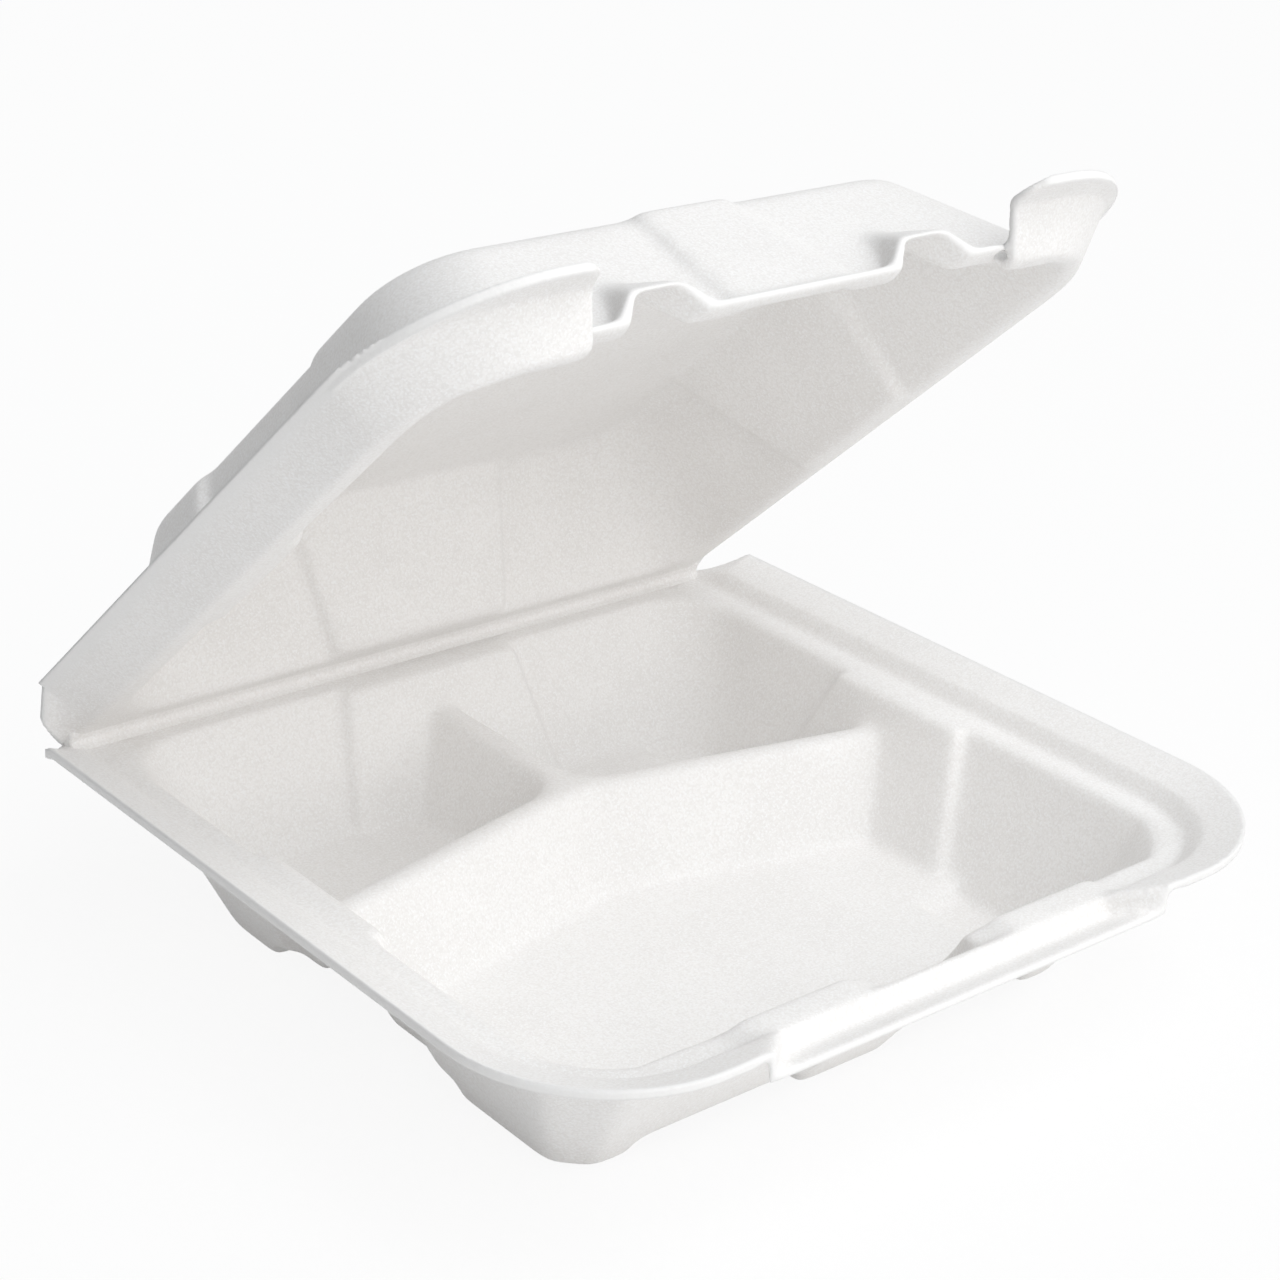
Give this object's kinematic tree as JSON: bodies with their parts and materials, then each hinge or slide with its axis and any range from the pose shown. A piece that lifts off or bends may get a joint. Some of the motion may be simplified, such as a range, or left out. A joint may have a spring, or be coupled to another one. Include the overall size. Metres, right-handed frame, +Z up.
{
  "type": "hinged food container",
  "caption": "White foam takeaway container with divided tray and hinged lid, pressed from one sheet, with a tab lock along the front edge",
  "frame": {"origin": "under the middle of the open container's bounding box, on the plane of the feet", "axes": "+X along the crease to the right as seen from the front, -Y to the front lock, +Z up"},
  "size_m": [0.227, 0.2244, 0.1977],
  "materials": {
    "foam": "matte foam skin"
  },
  "bodies": {
    "tray": {"tray": "foam"},
    "lid": {"lid": "foam"}
  },
  "joints": [
    {"name": "lid_hinge", "type": "hinge", "parent": "tray", "child": "lid", "pos_m": [0, 0.10579, 0.0401], "axis": [-1, 0, 0], "range_deg": [-42, 135]}
  ]
}
